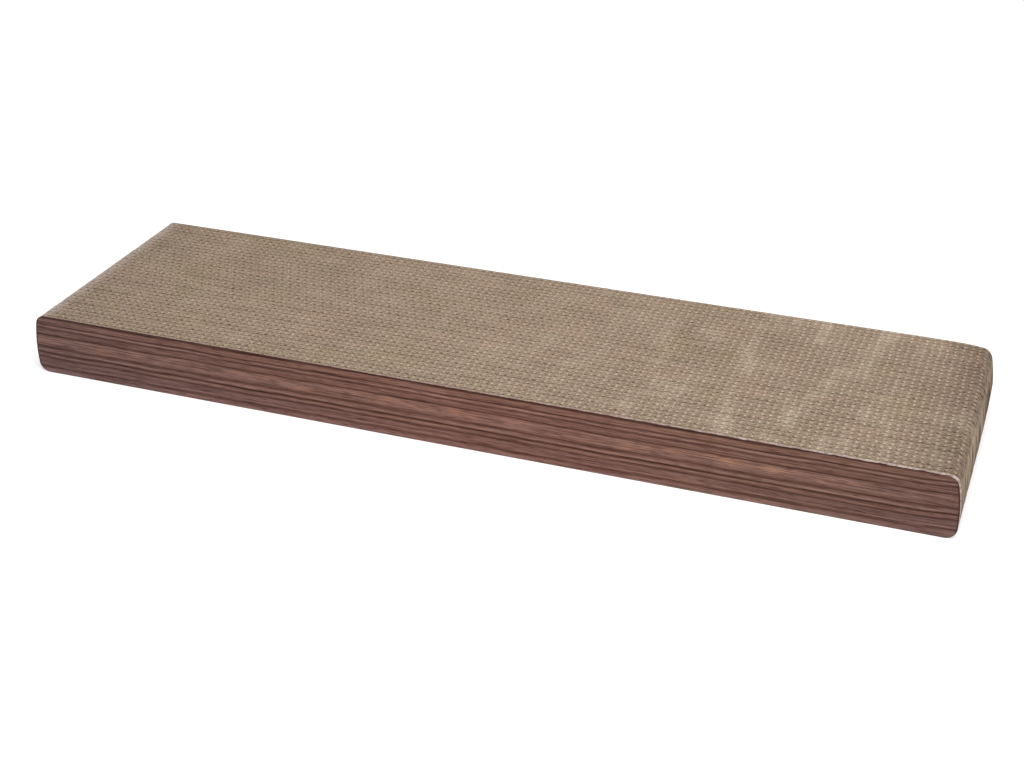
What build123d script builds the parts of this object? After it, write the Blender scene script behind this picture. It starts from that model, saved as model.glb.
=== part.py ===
from build123d import *
from functools import cache
from math import ceil, sqrt
import os

# The slab lies on the floor: X runs along the strips, Y from front to back, Z up, all in millimetres
slab_length = 783.0
slab_height = 53.5
strip_count = 36

# The two ends are cut to a shallow bow, fullest at this height, with rounded corners
bow_radius = 144.0
bow_height = 20.0
corner_radius = 9.0

# Double-wall board of one strip: liner, coarse fluting, liner, fine fluting, liner
liner_thickness = 0.3
coarse_height = 3.1
coarse_pitch = 7.93
fine_height = 2.0
# Paper over the crest of a coarse flute, and the width of that crest that is glued to its liner
crest_thickness = 0.3
crest_width = 0.4

# The flutes of a strip start this share of a pitch further on than those of the strip before it.
# Every other batch of strips was turned round, so there the flutes step back again
shift_share = 0.375
batch_strips = 14

# Printed card on the two long sides, and the glue films, which stop short of the slab's edges
cover_thickness = 0.8
glue_thickness = 0.08
glue_inset = 6.0

# How far a shape that is trimmed, or that trims another, reaches past the cut
overrun = 5.0

strip_thickness = liner_thickness + coarse_height + liner_thickness + fine_height + liner_thickness
strip_step = strip_thickness + glue_thickness
core_depth = strip_count * strip_step - glue_thickness
core_front = -core_depth / 2
core_back = core_depth / 2


def slab_outline():
    """The slab seen from the front: flat bottom and top, bowed ends and rounded corners."""
    fullest = slab_length / 2
    bow_middle = fullest - bow_radius
    bottom_end = bow_middle + sqrt(bow_radius**2 - bow_height**2)
    top_end = bow_middle + sqrt(bow_radius**2 - (slab_height - bow_height) ** 2)
    sides = [
        Line((-bottom_end, 0), (bottom_end, 0)),
        ThreePointArc((bottom_end, 0), (fullest, bow_height), (top_end, slab_height)),
        Line((top_end, slab_height), (-top_end, slab_height)),
        ThreePointArc((-top_end, slab_height), (-fullest, bow_height), (-bottom_end, 0)),
    ]
    sharp = make_face(sides)
    return fillet(sharp.vertices(), corner_radius)


def rounded_sheet(depth):
    """Upright sheet with the slab's outline, from y = 0 to y = depth."""
    return extrude(Plane.XZ * slab_outline(), depth, dir=(0, 1, 0))


def flute_cell(middle, base, depth):
    """Triangle that a fluting leaves open on a liner at y = base, with its tip at base + depth."""
    half_width = (coarse_pitch - crest_width) / 2
    corners = Polyline(
        (middle - half_width, base),
        (middle + half_width, base),
        (middle, base + depth),
        close=True,
    )
    return Wire(corners.edges())


def fluted_board(phase):
    """Board larger than a strip, with the cells on both sides of its coarse fluting open along Z.

    The fine fluting and its two liners are one solid layer here.
    """
    front_liner = liner_thickness
    middle_liner = front_liner + coarse_height
    cell_depth = coarse_height - crest_thickness
    reach = ceil(slab_length / 2 / coarse_pitch) + 1
    cells = []
    for flute in range(-reach, reach + 1):
        middle = (flute + phase) * coarse_pitch
        cells.append(flute_cell(middle, front_liner, cell_depth))
        cells.append(flute_cell(middle + coarse_pitch / 2, middle_liner, -cell_depth))
    board_end = (reach + 2) * coarse_pitch
    outline = Polyline(
        (-board_end, 0),
        (board_end, 0),
        (board_end, strip_thickness),
        (-board_end, strip_thickness),
        close=True,
    )
    section = Face(Wire(outline.edges()), cells)
    return extrude(Pos(0, 0, -overrun) * section, slab_height + 2 * overrun, dir=(0, 0, 1))


@cache
def fluted_strip(phase):
    """Strip trimmed from the board across its flutes, with rounded ends that show the cut cells."""
    trim = Pos(0, -overrun, 0) * rounded_sheet(strip_thickness + 2 * overrun)
    return fluted_board(phase) & trim


def flute_phase(index):
    """Start of a strip's flutes, as a share of a pitch: it steps on in one batch and back in the next."""
    steps = index % (2 * batch_strips)
    if steps > batch_strips:
        steps = 2 * batch_strips - steps
    return steps * shift_share % 1


def strips():
    """The strips from front to back, each a film of glue away from the one before it."""
    made = {}
    for index in range(strip_count):
        place = Pos(0, core_front + index * strip_step, 0)
        made[f"strip_{index + 1:02d}"] = place * fluted_strip(flute_phase(index))
    return made


def cover_sheets():
    """Printed cards with the slab's whole outline, glued to the first and the last strip."""
    card = rounded_sheet(cover_thickness)
    return {
        "front_cover_sheet": Pos(0, core_front - glue_thickness - cover_thickness, 0) * card,
        "back_cover_sheet": Pos(0, core_back + glue_thickness, 0) * card,
    }


def glue_lines():
    """Flat films of dried glue on both sides of every strip."""
    film_length = slab_length - 2 * glue_inset
    film_height = slab_height - 2 * glue_inset
    film = Pos(0, 0, slab_height / 2) * Box(film_length, glue_thickness, film_height)
    first_middle = core_front - glue_thickness / 2
    films = [Pos(0, first_middle + line * strip_step, 0) * film for line in range(strip_count + 1)]
    return {"glue_lines": Compound(children=films)}


os.makedirs("parts", exist_ok=True)
for name, shape in {**strips(), **cover_sheets(), **glue_lines()}.items():
    export_step(shape, f"parts/{name}.step", write_pcurves=False)
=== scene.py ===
import math

import bpy
import numpy as np
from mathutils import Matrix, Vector


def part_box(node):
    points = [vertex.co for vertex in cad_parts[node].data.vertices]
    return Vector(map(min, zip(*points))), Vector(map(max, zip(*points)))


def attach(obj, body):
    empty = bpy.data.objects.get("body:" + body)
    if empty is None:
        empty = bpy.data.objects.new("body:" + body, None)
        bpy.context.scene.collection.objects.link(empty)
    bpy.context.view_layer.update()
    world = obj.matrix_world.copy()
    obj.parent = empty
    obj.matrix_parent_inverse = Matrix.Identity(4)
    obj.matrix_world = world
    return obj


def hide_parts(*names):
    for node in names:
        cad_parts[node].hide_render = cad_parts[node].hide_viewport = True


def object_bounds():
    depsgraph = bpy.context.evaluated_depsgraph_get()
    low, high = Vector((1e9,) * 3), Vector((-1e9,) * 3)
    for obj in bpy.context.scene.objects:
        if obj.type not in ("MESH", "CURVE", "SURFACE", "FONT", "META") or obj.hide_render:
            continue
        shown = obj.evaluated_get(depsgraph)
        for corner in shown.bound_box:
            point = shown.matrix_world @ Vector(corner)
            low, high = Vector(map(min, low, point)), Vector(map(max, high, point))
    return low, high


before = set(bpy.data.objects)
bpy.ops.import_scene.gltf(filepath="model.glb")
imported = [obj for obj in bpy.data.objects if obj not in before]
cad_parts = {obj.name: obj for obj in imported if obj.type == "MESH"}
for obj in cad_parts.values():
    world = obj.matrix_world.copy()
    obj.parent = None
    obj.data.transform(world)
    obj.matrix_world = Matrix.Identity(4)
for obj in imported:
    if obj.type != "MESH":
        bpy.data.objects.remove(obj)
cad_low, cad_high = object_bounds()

# Corrugated strips.
# Each is a strip of double-wall board: five brown recycled papers, liner, coarse fluting, liner, fine
# fluting, liner. It was sawn across its flutes and stands on edge, glued face to face to the next one.
mm = 0.001
slab_length = cad_high.x - cad_low.x
slab_depth = cad_high.y - cad_low.y
slab_height = cad_high.z - cad_low.z
bow_radius = 144.0 * mm
bow_height = 20.0 * mm
corner_radius = 9.0 * mm
bow_middle = slab_length / 2 - bow_radius
strip_nodes = sorted(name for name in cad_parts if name.startswith("strip_"))
strip_low, strip_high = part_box(strip_nodes[0])
strip_thickness = strip_high.y - strip_low.y
liner_paper = 0.30 * mm
fluting_paper = 0.26 * mm
coarse_pitch = 7.93 * mm
coarse_height = 3.1 * mm
fine_pitch = 6.24 * mm
fine_height = strip_thickness - coarse_height - 3 * liner_paper
# The coarse flutes step on by this share of a pitch from strip to strip, and back again after a batch
shift_share = 0.375
batch_strips = 14
# Points of the meshes: so many to a flute, so far apart along a liner, and so many round an end
coarse_samples = 10
fine_samples = 8
liner_spacing = 7.0 * mm
end_steps = 22
# An edge of the papers that turns by more than this, in degrees, stays sharp
paper_smooth_angle = 50
# No two strips are quite alike: flutes start a little off and their spacing drifts along the strip
start_scatter_share = 0.04
drift_length = 170 * mm
drift_share = 0.08
# A line that wanders is made of waves that are so many times shorter than its longest one
wave_divisors = np.array((1.0, 1.9, 3.3))
# The saw frays the edges: the paper spreads there, most of all at the crests, bends over and ends unevenly
burr_depth = 2.0 * mm
liner_burr_share = 1.25
flute_burr_share = 1.3
crest_burr_share = 3.2
bend_reach = 0.20 * mm
bend_length = 23 * mm
bend_jitter = bend_reach / 5
row_sway = 0.35 * mm
sway_lengths = np.array((195, 82)) * mm
uneven_cut = 0.30 * mm
uneven_length = 60 * mm
uneven_ends = 0.3 * mm
# Tones of the papers from dark to pale. The plain ones are lowest at the left, painted shade for less light
# there.
# Those of crests and of the cells behind them change along the slab, and the dark tones of the open cells are
# painted shade.
plain_tones = (0.487, 0.555, 0.515)
outer_tones = (0.50, 0.84)
coarse_crest_tones = (0.70, 0.66)
shaded_cell_tones = (0.15, 0.30)
fine_crest_tones = (0.90, 1.0)
filled_cell_tones = (0.87, 1.0)
cell_change_share = 0.24
cell_change_length = 40 * mm
paper_change = 0.03
# Towards the left and the right end the tones fall by this much, over this length: painted shade of the cut
# ends
end_shade_fades = (0.08, 0.22)
end_reach = 70 * mm
# The upper turn of the left end carries a painted pale grey sheen, most near its edge, as far as this along
# the top and down the end. The scuffed patches keep to the same strip along the top.
sheen_and_scuff_edge = 4 * mm
sheen_width = 24 * mm
sheen_and_scuff_drop = 14 * mm
sheen_share = 0.43
# Handling scuffed patches of the top pale, more towards the right and longer across the strips than along
scuff_sizes = np.array((24, 75)) * mm
scuff_reach = np.array((30, 200)) * mm
scuffed_share = 0.24
scuffed_left_share = 0.3
# Sizes of the board's blotches and flecks, the flecks' relief, and how deep the sawn edge is browner with
# painted shade
blotch_size = 40 * mm
fleck_size = 1.6 * mm
fleck_relief = 0.2 * mm
sawn_shade_depth = 0.1 * mm
sawn_shade_fade = 0.5 * mm
# The back right corner of the slab was pushed in and worn round
worn_pull = 3.0 * mm
worn_droop = 4.2 * mm
worn_length = 15.0 * mm
chance = np.random.default_rng(seed=36)


def corner_start(flat):
    """How far past the middle of the bow the corner begins: leg of a triangle on the two radii."""
    return math.sqrt((bow_radius - corner_radius) ** 2 - (flat - corner_radius) ** 2)


def edge_reach(x, flat):
    """Height of the slab's edge at x, from the level where its ends are fullest.

    It is flat as far as the corner, then follows the corner's circle, then the circle of the bow.
    """
    past = np.abs(x) - bow_middle
    start = corner_start(flat)
    meet = start * bow_radius / (bow_radius - corner_radius)
    on_bow = np.sqrt(np.maximum(bow_radius**2 - past**2, 0))
    on_corner = flat - corner_radius + np.sqrt(np.maximum(corner_radius**2 - (past - start) ** 2, 0))
    return np.where(past > meet, on_bow, np.where(past > start, on_corner, flat))


def stations(spacing):
    """Places along the slab: even on the straight, and drawn together by a sine towards each end."""
    straight = bow_middle + corner_start(slab_height - bow_height)
    even = np.linspace(-straight, straight, 1 + round(2 * straight / spacing))
    turn = (slab_length / 2 - straight) * np.sin(np.linspace(0, math.pi / 2, end_steps))[1:]
    return np.concatenate((-straight - turn[::-1], even, straight + turn))


def wander(x, longest, reach):
    """Smooth random line: the mean of sine waves, each shorter than the last, started at random."""
    lengths = longest / wave_divisors
    starts = chance.uniform(0, 2 * math.pi, len(wave_divisors))
    return reach * np.sin(2 * math.pi * x[:, None] / lengths + starts).mean(axis=1)


def standing_sheet(x, line, thick, rows, lean):
    """Closed sheet of paper on edge: a loop of points at each x, joined into quads and capped.

    The loop goes up the front and down the back. Each row has its height, its lean to one side and its
    thickness, which is laid off square to y = line(x) on both sides.
    """
    count, levels = rows.shape
    slope = np.gradient(line, x)
    square = np.hypot(1, slope)[:, None]
    off_x = -slope[:, None] / square * thick / 2
    off_y = thick / 2 / square
    front = np.stack((x[:, None] - off_x, line[:, None] - off_y + lean, rows), axis=2)
    back = np.stack((x[:, None] + off_x, line[:, None] + off_y + lean, rows), axis=2)
    loop = np.concatenate((front, back[:, ::-1]), axis=1)
    loop[:, :, 0] = np.clip(loop[:, :, 0], -slab_length / 2, slab_length / 2)
    at = np.arange(count * 2 * levels).reshape(count, 2 * levels)
    beside = np.roll(at, -1, axis=1)
    walls = np.stack((at[:-1], at[1:], beside[1:], beside[:-1]), axis=2).reshape(-1, 4)
    up, down = at[:, :levels], at[:, : levels - 1 : -1]
    caps = np.stack((up[:, :-1], up[:, 1:], down[:, 1:], down[:, :-1]), axis=2)
    quads = np.concatenate((walls, caps[0], caps[-1][:, ::-1]))
    return loop.reshape(-1, 3), quads


def worn(points):
    """Points with the back right corner pushed in along X and let down, less and less away from it."""
    towards_back = np.clip(2 * points[:, 1] / slab_depth, 0, 1) ** 2
    from_end = slab_length / 2 - points[:, 0]
    share = towards_back * np.exp(-from_end / worn_length)
    above = np.clip((points[:, 2] - bow_height) / (slab_height - bow_height), 0, 1)
    pushed = points.copy()
    pushed[:, 0] -= worn_pull * share * (1 + above) / 2
    pushed[:, 2] -= worn_droop * share * above
    return pushed


def mesh_piece(name, points, quads, smooth_angle):
    """Object at the origin with these points and quads, smooth but for edges past the angle in degrees."""
    mesh = bpy.data.meshes.new(name)
    mesh.vertices.add(len(points))
    mesh.vertices.foreach_set("co", points.astype(np.float32).ravel())
    mesh.loops.add(quads.size)
    mesh.loops.foreach_set("vertex_index", quads.astype(np.int32).ravel())
    mesh.polygons.add(len(quads))
    mesh.polygons.foreach_set("loop_start", np.arange(0, quads.size, 4, dtype=np.int32))
    mesh.update(calc_edges=True)
    mesh.shade_smooth()
    mesh.set_sharp_from_angle(angle=math.radians(smooth_angle))
    piece = bpy.data.objects.new(name, mesh)
    bpy.context.scene.collection.objects.link(piece)
    return piece


def toned(x, tones, share):
    """Tones at x: plain ones, and as far as the share goes given ones, both spread from left to right.

    They darken with the square of the way into an end, as painted shade: there the shaded walls of cut flutes
    show more and more.
    """
    places = [np.linspace(-slab_length / 2, slab_length / 2, len(spread)) for spread in (plain_tones, tones)]
    plain = np.interp(x, places[0], plain_tones)
    given = np.interp(x, places[1], tones)
    into_end = np.clip(1 - (slab_length / 2 - np.abs(x)) / end_reach, 0, 1) ** 2
    return plain + share * (given - plain) - np.where(x < 0, *end_shade_fades) * into_end


def liner(low, tones):
    """Flat paper that begins at y = low."""
    x = stations(liner_spacing)
    line = np.full_like(x, low + liner_paper / 2)
    return x, line, liner_paper, toned(x, tones, 1.0), np.zeros_like(x)


def strip_papers(index, front):
    """The five papers of the strip that begins at y = front, from front to back.

    Each is its places x, its line y(x), its thickness, its tone from dark to pale, and how much of a crest
    it has at each x. A fluting is a cosine wave between two liners. The cells behind the front crests of the
    coarse fluting are dark with painted shade, and behind those of the fine fluting torn fibres fill the
    cells.
    """
    steps = index % (2 * batch_strips)
    coarse_phase = min(steps, 2 * batch_strips - steps) * shift_share
    fine_phase = chance.normal(0, start_scatter_share)
    coarse_front = front + liner_paper
    fine_front = coarse_front + coarse_height + liner_paper
    flutings = (
        (coarse_front, coarse_height, coarse_pitch, coarse_phase, coarse_samples,
         coarse_crest_tones, shaded_cell_tones),
        (fine_front, fine_height, fine_pitch, fine_phase, fine_samples,
         fine_crest_tones, filled_cell_tones),
    )
    papers = [liner(front, outer_tones if index == 0 else plain_tones)]
    for low, height, pitch, phase, samples, crest_tones, cell_tones in flutings:
        x = stations(pitch / samples)
        wave = np.cos(2 * math.pi * (x / pitch - phase + wander(x, drift_length, drift_share)))
        crest = np.clip(-wave, 0, 1) ** 2
        line = low + height / 2 + (height - fluting_paper) / 2 * wave
        papers.append((x, line, fluting_paper, toned(x, crest_tones, crest), crest))
        back = np.full_like(x, low + height + liner_paper / 2)
        depth_share = crest * (1 - cell_change_share + wander(x, cell_change_length, cell_change_share))
        papers.append((x, back, liner_paper, toned(x, cell_tones, depth_share), np.zeros_like(x)))
    if index == len(strip_nodes) - 1:
        papers[-1] = liner(front + strip_thickness - liner_paper, outer_tones)
    return papers


def strip_mesh(index, front):
    """Points and quads of a strip's five papers, and for each point its tone and depth below the cut.

    Half of the cut's unevenness is between strips and half along them. Only the upper edges sway and bend,
    and those of the first and the last strip stay straight beside their cards.
    """
    points, quads, tones, depths, made = [], [], [], [], 0
    strip_cut = chance.uniform(0, uneven_cut / 2)
    inset_left, inset_right = chance.uniform(0, uneven_ends, 2)
    sway_starts = chance.uniform(0, 2 * math.pi, len(sway_lengths))
    inner = min(1.0, index, len(strip_nodes) - 1 - index)
    for x, line, paper, tone, crest in strip_papers(index, front):
        low = bow_height - edge_reach(x, bow_height)
        cut = strip_cut + uneven_cut / 4 + wander(x, uneven_length, uneven_cut / 4)
        top = np.maximum(bow_height + edge_reach(x, slab_height - bow_height) - cut, low)
        lip = np.minimum(burr_depth, (top - low) / 2)
        rows = np.stack((low, top - lip, top), axis=1)
        burr = crest * crest_burr_share + (1 - crest) * flute_burr_share if crest.any() else liner_burr_share
        spread = paper * (burr + np.zeros_like(x))
        plain = np.full_like(x, paper)
        thick = np.stack((plain, plain, spread), axis=1)
        sway = row_sway / 2 * np.sin(2 * math.pi * x[:, None] / sway_lengths + sway_starts).sum(axis=1)
        bend = wander(x, bend_length, bend_reach) + chance.normal(0, bend_jitter, len(x))
        lean = (inner * (sway + bend))[:, None] * np.array((0, 0, 1))
        sheet, faces = standing_sheet(x, line, thick, rows, lean)
        sheet[:, 0] *= 1 - (inset_left + inset_right) / slab_length
        sheet[:, 0] += (inset_left - inset_right) / 2
        depth = np.stack((lip, lip, np.zeros_like(lip)), axis=1)
        points.append(worn(sheet))
        quads.append(faces + made)
        tones.append(np.repeat(tone + chance.uniform(-paper_change, paper_change), 2 * rows.shape[1]))
        depths.append(np.concatenate((depth, depth[:, ::-1]), axis=1).ravel())
        made += len(sheet)
    return [np.concatenate(group) for group in (points, quads, tones, depths)]


def linear(colour):
    """Linear RGBA of an sRGB hex colour."""
    parts = np.array([int(colour[at:at + 2], 16) for at in (1, 3, 5)]) / 255
    bright = np.where(parts > 0.04045, ((parts + 0.055) / 1.055) ** 2.4, parts / 12.92)
    return (*bright.tolist(), 1.0)


def add(tree, kind, sockets=(), stops=(), **settings):
    """Adds a node. A socket gets a value, or a link where the value is another node's output.

    A colour ramp starts with two stops, which are set, and the other stops are added to them.
    """
    node = tree.nodes.new(kind)
    for name, value in settings.items():
        setattr(node, name, value)
    for name, value in dict(sockets).items():
        if isinstance(value, bpy.types.NodeSocket):
            tree.links.new(value, node.inputs[name])
        else:
            node.inputs[name].default_value = value
    for place, (share, colour) in enumerate(stops):
        stop = node.color_ramp.elements[place] if place < 2 else node.color_ramp.elements.new(share)
        stop.position = share
        stop.color = linear(colour)
    return node


def new_material(name):
    """Empty material, and its node tree."""
    material = bpy.data.materials.new(name)
    material.use_nodes = True
    material.node_tree.nodes.clear()
    return material, material.node_tree


def kraft_board():
    """Recycled kraft paper: matt brown with soft pink and olive blotches, flecked with fibres.

    The flecks are drawn coarser than real fibres, so that they show. The crests and the mouths of the cells
    are pale with torn fibres, and the sawn edges a little browner and darker, as painted shade. The turn at
    the left end has a painted pale grey sheen, and patches of the top are scuffed pale.
    """
    material, tree = new_material("recycled_kraft_board")
    place = add(tree, "ShaderNodeTexCoord").outputs["Object"]
    # The tone attribute holds each paper's own tone, and also painted shade: dark open cells and darker ends.
    tone = add(tree, "ShaderNodeAttribute", attribute_name="paper_tone_and_shade")
    wall = add(tree, "ShaderNodeValToRGB", {"Fac": tone.outputs["Fac"]},
               ((0.0, "#3A2E27"), (0.55, "#BCAC9B"), (0.75, "#D2C3B4"), (1.0, "#FAEEDF")))
    # Painted shade: near the cut the sawn edges are multiplied a little darker.
    depth = add(tree, "ShaderNodeAttribute", attribute_name="cut_depth")
    edge = add(tree, "ShaderNodeMapRange", {"Value": depth.outputs["Fac"], "From Min": sawn_shade_fade,
                                            "From Max": sawn_shade_depth})
    paper = add(tree, "ShaderNodeMix", {"Factor": edge.outputs["Result"], "A": wall.outputs["Color"],
                                        "B": linear("#E9E2DB")}, data_type="RGBA", blend_type="MULTIPLY")
    blotch = add(tree, "ShaderNodeTexNoise", {"Vector": place, "Scale": 1 / blotch_size, "Detail": 2.0})
    tint = add(tree, "ShaderNodeValToRGB", {"Fac": blotch.outputs["Fac"]},
               ((0.34, "#FFF8F5"), (0.50, "#FAF8F5"), (0.66, "#F8F7EE")))
    tinted = add(tree, "ShaderNodeMix", {"Factor": 1.0, "A": paper.outputs["Result"],
                                         "B": tint.outputs["Color"]},
                 data_type="RGBA", blend_type="MULTIPLY")
    fleck = add(tree, "ShaderNodeTexNoise", {"Vector": place, "Scale": 1 / fleck_size, "Detail": 4.0})
    fibres = add(tree, "ShaderNodeValToRGB", {"Fac": fleck.outputs["Fac"]},
                 ((0.30, "#E8E5E1"), (0.65, "#FFFFFF")))
    flecked = add(tree, "ShaderNodeMix", {"Factor": 1.0, "A": tinted.outputs["Result"],
                                          "B": fibres.outputs["Color"]},
                  data_type="RGBA", blend_type="MULTIPLY")
    parts = add(tree, "ShaderNodeSeparateXYZ", {0: place})
    outward = add(tree, "ShaderNodeMapRange", {"Value": parts.outputs["X"], "To Max": sheen_share,
                                               "From Min": sheen_width - slab_length / 2,
                                               "From Max": sheen_and_scuff_edge - slab_length / 2},
                  interpolation_type="SMOOTHSTEP")
    upward = add(tree, "ShaderNodeMapRange", {"Value": parts.outputs["Z"],
                                              "From Min": slab_height - sheen_and_scuff_drop,
                                              "From Max": slab_height - sheen_and_scuff_edge},
                 interpolation_type="SMOOTHSTEP")
    across = add(tree, "ShaderNodeMapping", {"Vector": place, "Scale": (*(1 / scuff_sizes), 0)})
    scuff = add(tree, "ShaderNodeTexNoise", {"Vector": across.outputs[0], "Scale": 1.0, "Detail": 3.0})
    scuffs = add(tree, "ShaderNodeMapRange", {"Value": scuff.outputs["Fac"], "From Min": 0.48,
                                              "From Max": 0.72, "To Max": scuffed_share},
                 interpolation_type="SMOOTHSTEP")
    rightward = add(tree, "ShaderNodeMapRange", {"Value": parts.outputs["X"], "From Min": scuff_reach[0],
                                                 "From Max": scuff_reach[1], "To Min": scuffed_left_share})
    handled = add(tree, "ShaderNodeMath", {0: scuffs.outputs["Result"], 1: rightward.outputs["Result"]},
                  operation="MULTIPLY")
    on_top = add(tree, "ShaderNodeMath", {0: handled.outputs[0], 1: upward.outputs["Result"]},
                 operation="MULTIPLY")
    scuffed = add(tree, "ShaderNodeMix", {"Factor": on_top.outputs[0], "A": flecked.outputs["Result"],
                                          "B": linear("#EADCC5")}, data_type="RGBA")
    # Painted sheen: the upper turn of the left end is mixed towards a pale grey.
    painted_sheen = add(tree, "ShaderNodeMath", {0: outward.outputs["Result"], 1: upward.outputs["Result"]},
                 operation="MULTIPLY")
    colour = add(tree, "ShaderNodeMix", {"Factor": painted_sheen.outputs[0], "A": scuffed.outputs["Result"],
                                         "B": linear("#DED3CC")}, data_type="RGBA")
    bump = add(tree, "ShaderNodeBump", {"Height": fleck.outputs["Fac"], "Strength": 0.25,
                                        "Distance": fleck_relief})
    surface = add(tree, "ShaderNodeBsdfPrincipled", {"Base Color": colour.outputs["Result"],
                                                     "Roughness": 0.88, "Specular IOR Level": 0.25,
                                                     "Normal": bump.outputs["Normal"]})
    add(tree, "ShaderNodeOutputMaterial", {"Surface": surface.outputs["BSDF"]})
    return material


kraft = kraft_board()
for index, node in enumerate(strip_nodes):
    points, quads, tones, depths = strip_mesh(index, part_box(node)[0].y)
    strip = mesh_piece(f"board_{node}", points, quads, paper_smooth_angle)
    for name, values in (("paper_tone_and_shade", tones), ("cut_depth", depths)):
        strip.data.attributes.new(name, "FLOAT", "POINT").data.foreach_set("value", values.astype(np.float32))
    strip.data.materials.append(kraft)
    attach(strip, "root")
    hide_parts(node)

# Glue lines.
# Thin films of white glue were rolled on the strips before the slab was pressed. They stop short of the
# edges, so that hardly any glue shows between two liners.
bubble_size = 5 * mm


def dried_glue():
    """Dried white glue: cream, a little glossy, with small bubbles."""
    material, tree = new_material("dried_white_glue")
    place = add(tree, "ShaderNodeTexCoord").outputs["Object"]
    bubbles = add(tree, "ShaderNodeTexNoise", {"Vector": place, "Scale": 1 / bubble_size, "Detail": 2.0})
    film = add(tree, "ShaderNodeValToRGB", {"Fac": bubbles.outputs["Fac"]},
               ((0.35, "#C9BC9C"), (0.65, "#DDD5BF")))
    surface = add(tree, "ShaderNodeBsdfPrincipled", {"Base Color": film.outputs["Color"], "Roughness": 0.4,
                                                     "IOR": 1.47})
    add(tree, "ShaderNodeOutputMaterial", {"Surface": surface.outputs["BSDF"]})
    return material


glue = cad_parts["glue_lines"]
glue.data.materials.clear()
glue.data.materials.append(dried_glue())

# Cover sheets.
# Card with a dark wood grain printed on its outer face, cut to the slab's outline and glued on the first
# and the last strip. Towards the right end the saw tore the print off along the edge and bared the core.
cover_spacing = 3.0 * mm
cover_levels = 13
card_smooth_angle = 30
# Width of the torn edge from left to right and at the right end, how it changes, and the core's fluff
torn_widths = np.array((0.0, 0.25, 1.0)) * mm
torn_end = 1.5 * mm
torn_change_share = 0.5
torn_change_length = 30 * mm
fluff_size = 3 * mm
# The print is dark along the rim of the two ends
rim_width = 1.4 * mm
# Length and height of the print's patterns: how its lines waver and fade, its patches, streaks and pores
waver_sizes = (75 * mm, 110 * mm)
fading_sizes = (55 * mm, 5 * mm)
patch_sizes = (38 * mm, 9 * mm)
streak_sizes = (70 * mm, 1.1 * mm)
pore_sizes = (13 * mm, 0.8 * mm)
streak_relief = 0.1 * mm
# The lines waver and, at the right end, rise by these shares of the height. The rise takes this length
waver_share = 0.015
rise_share = 0.035
rise_length = 35 * mm
# Here and there the lines fade by this share at most
fading_share = 0.32
# The band with the patches comes in and goes out over these shares of the height, at this strength
band_low_shares = (0.46, 0.52)
band_high_shares = (0.62, 0.67)
band_strength = 0.7
# The print's lines from bottom to top, as shares of the height
grain_stops = (
    (0.00, "#8A6860"), (0.060, "#846158"), (0.105, "#5A3A31"), (0.128, "#78554B"), (0.145, "#8C695E"),
    (0.165, "#75534B"), (0.240, "#7E5C54"), (0.265, "#4B2E25"), (0.290, "#7A574C"), (0.312, "#8A665B"),
    (0.332, "#785347"), (0.352, "#210B05"), (0.372, "#765043"), (0.386, "#937065"), (0.410, "#836055"),
    (0.452, "#57362C"), (0.500, "#836056"), (0.560, "#866358"), (0.630, "#88655A"), (0.655, "#7B564B"),
    (0.672, "#3C2017"), (0.690, "#785447"), (0.760, "#7C5950"), (0.784, "#4E3027"), (0.804, "#7E594E"),
    (0.822, "#957266"), (0.838, "#7A5447"), (0.855, "#341A13"), (0.874, "#805B4F"), (0.940, "#815C4F"),
    (0.968, "#3A1D14"), (0.990, "#4E3022"),
)


def drawn_out(tree, place, sizes, detail, roughness=0.5):
    """Noise drawn out along the slab, with patches as long and as high as the two sizes."""
    scaled = add(tree, "ShaderNodeMapping", {"Vector": place, "Scale": (1 / sizes[0], 0, 1 / sizes[1])})
    noise = add(tree, "ShaderNodeTexNoise", {"Vector": scaled.outputs[0], "Scale": 1.0, "Detail": detail,
                                             "Roughness": roughness})
    return noise.outputs["Fac"]


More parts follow.
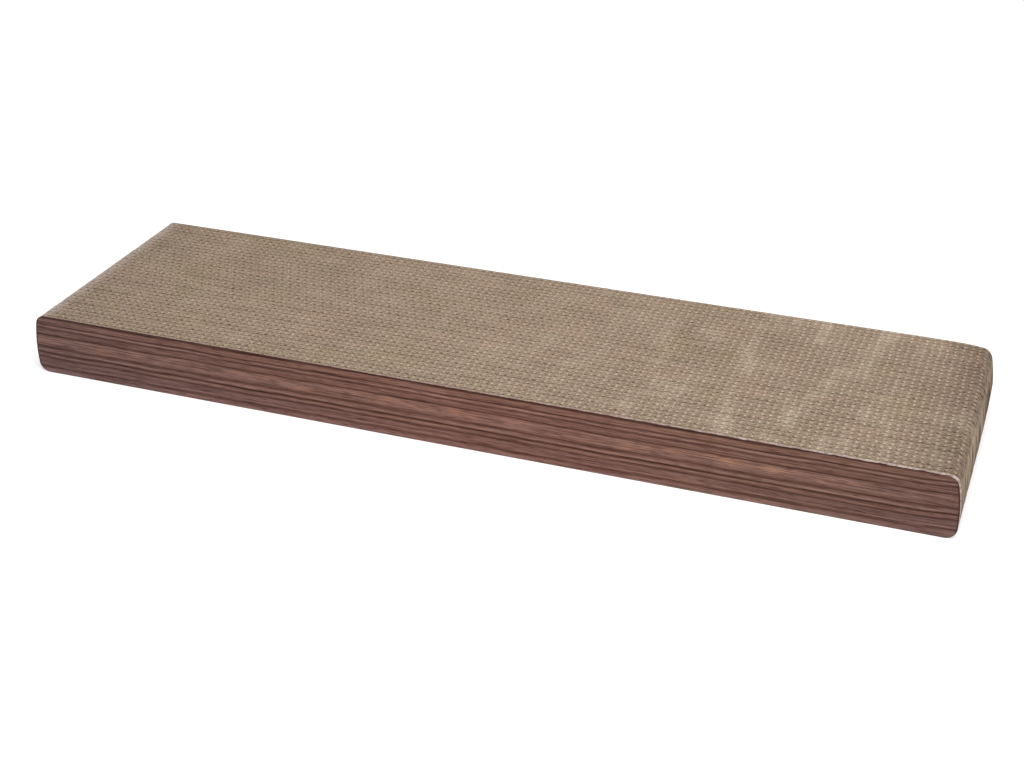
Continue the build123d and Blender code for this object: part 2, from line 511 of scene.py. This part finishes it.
def wood_print():
    """Printed wood grain under a satin varnish: long thin brown lines that waver and fade in and out.

    One broad pale band carries rust-brown patches, and thin streaks and short pores lie over all of it.
    The lines rise a little at the right end, and the ends are cooler than the middle.
    """
    material, tree = new_material("printed_wood_grain_card")
    place = add(tree, "ShaderNodeTexCoord").outputs["Object"]
    parts = add(tree, "ShaderNodeSeparateXYZ", {0: place})
    share = add(tree, "ShaderNodeMath", {0: parts.outputs["Z"], 1: slab_height}, operation="DIVIDE")
    waver = drawn_out(tree, place, waver_sizes, 2.0)
    shift = add(tree, "ShaderNodeMapRange", {"Value": waver, "From Min": 0.25, "From Max": 0.75,
                                             "To Min": -waver_share, "To Max": waver_share})
    rise = add(tree, "ShaderNodeMapRange", {"Value": parts.outputs["X"], "To Max": -rise_share,
                                            "From Min": slab_length / 2 - rise_length,
                                            "From Max": slab_length / 2}, interpolation_type="SMOOTHSTEP")
    bent = add(tree, "ShaderNodeMath", {0: shift.outputs["Result"], 1: rise.outputs["Result"]},
               operation="ADD")
    level = add(tree, "ShaderNodeMath", {0: share.outputs[0], 1: bent.outputs[0]}, operation="ADD")
    grain = add(tree, "ShaderNodeValToRGB", {"Fac": level.outputs[0]}, grain_stops)
    fading = drawn_out(tree, place, fading_sizes, 1.0)
    faded = add(tree, "ShaderNodeMapRange", {"Value": fading, "From Min": 0.50, "From Max": 0.78,
                                             "To Max": fading_share})
    lines = add(tree, "ShaderNodeMix", {"Factor": faded.outputs["Result"], "A": grain.outputs["Color"],
                                        "B": linear("#7B584E")}, data_type="RGBA")
    patches = drawn_out(tree, place, patch_sizes, 3.0)
    rust = add(tree, "ShaderNodeValToRGB", {"Fac": patches},
               ((0.34, "#6F4F46"), (0.46, "#856257"), (0.56, "#8E685B"), (0.68, "#A6775F")))
    band_low = add(tree, "ShaderNodeMapRange", {"Value": level.outputs[0], "To Max": band_strength,
                                                "From Min": band_low_shares[0],
                                                "From Max": band_low_shares[1]})
    band_high = add(tree, "ShaderNodeMapRange", {"Value": level.outputs[0],
                                                 "From Min": band_high_shares[1],
                                                 "From Max": band_high_shares[0]})
    band = add(tree, "ShaderNodeMath", {0: band_low.outputs["Result"], 1: band_high.outputs["Result"]},
               operation="MULTIPLY")
    patched = add(tree, "ShaderNodeMix", {"Factor": band.outputs[0], "A": lines.outputs["Result"],
                                          "B": rust.outputs["Color"]}, data_type="RGBA")
    streak = drawn_out(tree, place, streak_sizes, 5.0, roughness=0.65)
    streaks = add(tree, "ShaderNodeValToRGB", {"Fac": streak}, ((0.34, "#A2918A"), (0.55, "#FFFFFF")))
    streaky = add(tree, "ShaderNodeMix", {"Factor": 1.0, "A": patched.outputs["Result"],
                                          "B": streaks.outputs["Color"]},
                  data_type="RGBA", blend_type="MULTIPLY")
    dashes = drawn_out(tree, place, pore_sizes, 2.0)
    pores = add(tree, "ShaderNodeValToRGB", {"Fac": dashes}, ((0.34, "#C9BDB7"), (0.50, "#FFFFFF")))
    porous = add(tree, "ShaderNodeMix", {"Factor": 1.0, "A": streaky.outputs["Result"],
                                         "B": pores.outputs["Color"]},
                 data_type="RGBA", blend_type="MULTIPLY")
    along = add(tree, "ShaderNodeMapRange", {"Value": parts.outputs["X"], "From Min": -slab_length / 2,
                                             "From Max": slab_length / 2})
    tint = add(tree, "ShaderNodeValToRGB", {"Fac": along.outputs["Result"]},
               ((0.0, "#E2EDFB"), (0.5, "#FFFFFF"), (0.8, "#F8FFFF"), (1.0, "#E3EBF1")))
    cooled = add(tree, "ShaderNodeMix", {"Factor": 1.0, "A": porous.outputs["Result"],
                                         "B": tint.outputs["Color"]}, data_type="RGBA", blend_type="MULTIPLY")
    rim = add(tree, "ShaderNodeAttribute", attribute_name="rim")
    colour = add(tree, "ShaderNodeMix", {"Factor": rim.outputs["Fac"], "A": cooled.outputs["Result"],
                                         "B": linear("#33201E")}, data_type="RGBA")
    bump = add(tree, "ShaderNodeBump", {"Height": streak, "Strength": 0.08, "Distance": streak_relief})
    surface = add(tree, "ShaderNodeBsdfPrincipled", {"Base Color": colour.outputs["Result"], "Roughness": 0.6,
                                                     "Specular IOR Level": 0.12,
                                                     "Normal": bump.outputs["Normal"]})
    add(tree, "ShaderNodeOutputMaterial", {"Surface": surface.outputs["BSDF"]})
    return material


def card_core():
    """White card without its print: smeared brown where it was cut clean, pale fluff where it was torn."""
    material, tree = new_material("white_card_core")
    place = add(tree, "ShaderNodeTexCoord").outputs["Object"]
    fluff = add(tree, "ShaderNodeTexNoise", {"Vector": place, "Scale": 1 / fluff_size, "Detail": 3.0})
    clean = add(tree, "ShaderNodeValToRGB", {"Fac": fluff.outputs["Fac"]},
                ((0.30, "#6B5046"), (0.65, "#8F766B")))
    fluffy = add(tree, "ShaderNodeValToRGB", {"Fac": fluff.outputs["Fac"]},
                 ((0.30, "#7A675F"), (0.65, "#B09F98")))
    torn = add(tree, "ShaderNodeAttribute", attribute_name="torn")
    core = add(tree, "ShaderNodeMix", {"Factor": torn.outputs["Fac"], "A": clean.outputs["Color"],
                                       "B": fluffy.outputs["Color"]}, data_type="RGBA")
    surface = add(tree, "ShaderNodeBsdfPrincipled", {"Base Color": core.outputs["Result"], "Roughness": 0.85})
    add(tree, "ShaderNodeOutputMaterial", {"Surface": surface.outputs["BSDF"]})
    return material


printed, core = wood_print(), card_core()
for node, outer_side in (("front_cover_sheet", 0), ("back_cover_sheet", 1)):
    low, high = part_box(node)
    x = stations(cover_spacing)
    bottom = bow_height - edge_reach(x, bow_height)
    top = bow_height + edge_reach(x, slab_height - bow_height)
    upward = np.linspace(0, 1, cover_levels)
    rows = bottom[:, None] + (top - bottom)[:, None] * upward
    line = np.full_like(x, (low.y + high.y) / 2)
    thick = np.full_like(rows, high.y - low.y)
    points, quads = standing_sheet(x, line, thick, rows, np.zeros_like(rows))
    past = np.maximum(np.abs(points[:, 0]) - bow_middle, 0)
    from_bow = bow_radius - np.hypot(past, points[:, 2] - bow_height)
    rim = np.clip(2 - 2 * from_bow / rim_width, 0, 1)
    # The print ends below the top edge and short of the right end, and the core slopes up from there
    torn_off = np.interp(x, np.linspace(-slab_length / 2, slab_length / 2, len(torn_widths)), torn_widths)
    torn_off = torn_off * (1 + wander(x, torn_change_length, torn_change_share))
    level_shares = np.tile(np.concatenate((upward, upward[::-1])), len(x))
    side = np.arange(len(points)) // cover_levels % 2
    lowered = np.repeat(np.minimum(torn_off, top - bottom), 2 * cover_levels) * level_shares
    points[:, 2] -= np.where(side == outer_side, lowered, 0)
    short = np.where(side == outer_side, torn_end * points[:, 2] / slab_height, 0)
    points[:, 0] = points[:, 0] * (1 - short / slab_length) - short / 2
    torn = np.repeat(np.clip(torn_off / max(torn_widths), 0, 1), 2 * cover_levels)
    cover = mesh_piece(f"printed_{node}", worn(points), quads, card_smooth_angle)
    for name, values in (("rim", rim), ("torn", torn)):
        cover.data.attributes.new(name, "FLOAT", "POINT").data.foreach_set("value", values.astype(np.float32))
    cover.data.materials.append(core)
    cover.data.materials.append(printed)
    side_of_quad = np.arange(len(quads)) % (2 * cover_levels) - outer_side * cover_levels
    walls = np.arange(len(quads)) < (len(x) - 1) * 2 * cover_levels
    outer = walls & (side_of_quad >= 0) & (side_of_quad < cover_levels - 1)
    cover.data.polygons.foreach_set("material_index", outer.astype(np.int32))
    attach(cover, "root")
    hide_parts(node)

# Studio.
# A plain white floor and surround, and a large soft lamp above the front, to the right.
floor_reach = 6.0
floor_drop = 0.2 * mm
# Further from the lamp's light the floor glows more towards the eye, and so it stays white
glow_distances = (1.0, 4.0)
glow_levels = (0.24, 0.75)
fill_light = 0.6
lamp_place = (0.7, -1.25, 2.0)
lamp_size = 2.4
lamp_power = 60
floor_mesh = bpy.data.meshes.new("studio_floor")
floor_corners = ((-floor_reach, -floor_reach), (floor_reach, -floor_reach), (floor_reach, floor_reach),
                 (-floor_reach, floor_reach))
floor_mesh.from_pydata([(x, y, -floor_drop) for x, y in floor_corners], [], [(0, 1, 2, 3)])
floor = bpy.data.objects.new("studio_floor", floor_mesh)
bpy.context.scene.collection.objects.link(floor)


def seen_plainly(tree):
    """One where a camera, mirror or glass ray meets the surface, and zero for light towards the object."""
    ray = add(tree, "ShaderNodeLightPath")
    mirrored = add(tree, "ShaderNodeMath", {0: ray.outputs["Is Camera Ray"], 1: ray.outputs["Is Glossy Ray"]},
                   operation="MAXIMUM")
    return add(tree, "ShaderNodeMath", {0: mirrored.outputs[0], 1: ray.outputs["Is Transmission Ray"]},
               operation="MAXIMUM").outputs[0]


floor_paint, tree = new_material("white_studio_floor")
place = add(tree, "ShaderNodeTexCoord").outputs["Object"]
parts = add(tree, "ShaderNodeSeparateXYZ", {0: place})
# Under the slab's flat footprint the floor does not glow, so it is darker there: painted shade under the
# slab.
between_ends, between_sides = (
    add(tree, "ShaderNodeMath", {0: parts.outputs[axis], 1: 0.0, 2: reach / 2}, operation="COMPARE")
    for axis, reach in (("X", 2 * (bow_middle + corner_start(bow_height))), ("Y", slab_depth)))
under = add(tree, "ShaderNodeMath", {0: between_ends.outputs[0], 1: between_sides.outputs[0]},
            operation="MULTIPLY")
away = add(tree, "ShaderNodeVectorMath", {0: place}, operation="LENGTH")
white = add(tree, "ShaderNodeMapRange", {"Value": away.outputs["Value"],
                                         "From Min": glow_distances[0], "From Max": glow_distances[1],
                                         "To Min": glow_levels[0], "To Max": glow_levels[1]})
open_floor = add(tree, "ShaderNodeMath", {0: seen_plainly(tree), 1: under.outputs[0]}, operation="SUBTRACT",
                 use_clamp=True)
glow = add(tree, "ShaderNodeMath", {0: open_floor.outputs[0], 1: white.outputs["Result"]},
           operation="MULTIPLY")
paint = add(tree, "ShaderNodeBsdfPrincipled", {"Base Color": linear("#EDEDED"), "Roughness": 0.9,
                                               "Specular IOR Level": 0.0, "Emission Color": linear("#FFFFFF"),
                                               "Emission Strength": glow.outputs[0]})
add(tree, "ShaderNodeOutputMaterial", {"Surface": paint.outputs["BSDF"]})
floor_mesh.materials.append(floor_paint)

surround = bpy.data.worlds.new("white_surround")
bpy.context.scene.world = surround
surround.use_nodes = True
surround.node_tree.nodes.clear()
level = add(surround.node_tree, "ShaderNodeMapRange", {"Value": seen_plainly(surround.node_tree),
                                                       "To Min": fill_light, "To Max": 1.0})
sky = add(surround.node_tree, "ShaderNodeBackground", {"Color": linear("#FFFFFF"),
                                                       "Strength": level.outputs["Result"]})
add(surround.node_tree, "ShaderNodeOutputWorld", {"Surface": sky.outputs["Background"]})

lamp_data = bpy.data.lights.new("soft_lamp", "AREA")
lamp_data.shape = "SQUARE"
lamp_data.size = lamp_size
lamp_data.energy = lamp_power
lamp = bpy.data.objects.new("soft_lamp", lamp_data)
lamp.location = lamp_place
lamp.rotation_euler = Vector(lamp_place).to_track_quat("Z", "Y").to_euler()
bpy.context.scene.collection.objects.link(lamp)

# Camera.
# It stands to the front right of the slab and looks down on it, level, as the photograph was taken.
view_azimuth = math.radians(20.187)
view_elevation = math.radians(28.059)
view_place = Vector((452.3, -1218.1, 690.6)) * mm
photo_width = 1024
focal_pixels = 1725.0
camera_data = bpy.data.cameras.new("photo_camera")
camera_data.sensor_fit = "HORIZONTAL"
camera_data.lens = focal_pixels * camera_data.sensor_width / photo_width
camera = bpy.data.objects.new("photo_camera", camera_data)
backward = Vector((math.sin(view_azimuth) * math.cos(view_elevation),
                   -math.cos(view_azimuth) * math.cos(view_elevation), math.sin(view_elevation)))
camera.location = view_place
camera.rotation_euler = backward.to_track_quat("Z", "Y").to_euler()
bpy.context.scene.collection.objects.link(camera)
bpy.context.scene.camera = camera
bpy.context.scene.view_settings.view_transform = "Standard"
